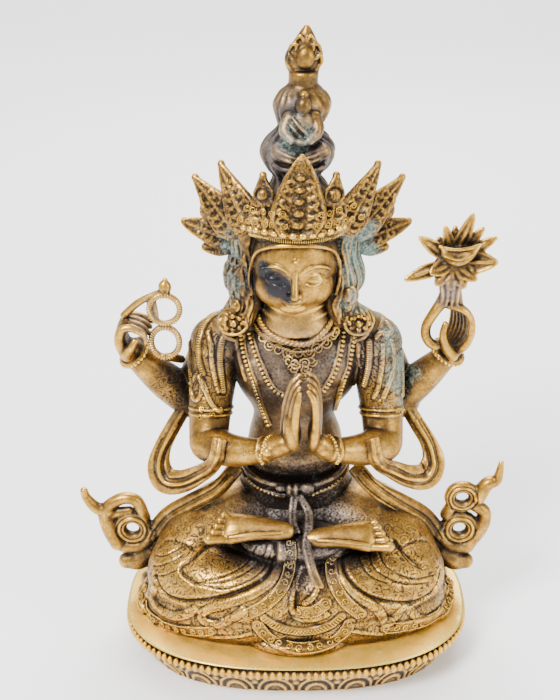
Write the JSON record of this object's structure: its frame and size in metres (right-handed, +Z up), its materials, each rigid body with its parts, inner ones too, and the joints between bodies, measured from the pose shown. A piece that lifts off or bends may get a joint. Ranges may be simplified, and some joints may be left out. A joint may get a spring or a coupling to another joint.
{
  "type": "avalokiteshvara statue",
  "caption": "Cast brass statue of a seated four-armed Avalokiteshvara with rosary and lotus, on a low lotus seat with a beaded rim.",
  "frame": {"origin": "middle of the lotus seat's underside", "axes": "+Z up, the figure faces -Y, its raised lotus is on the +X side"},
  "size_m": [0.2011, 0.118, 0.2964],
  "materials": {
    "figure_brass": "polished on the high places, dark brown and grey patina in the recesses, some verdigris",
    "seat_brass": "polished top, dark patina between the beads and petals"
  },
  "bodies": {
    "root": {"figure": "figure_brass", "lotus_seat": "seat_brass"}
  },
  "joints": []
}
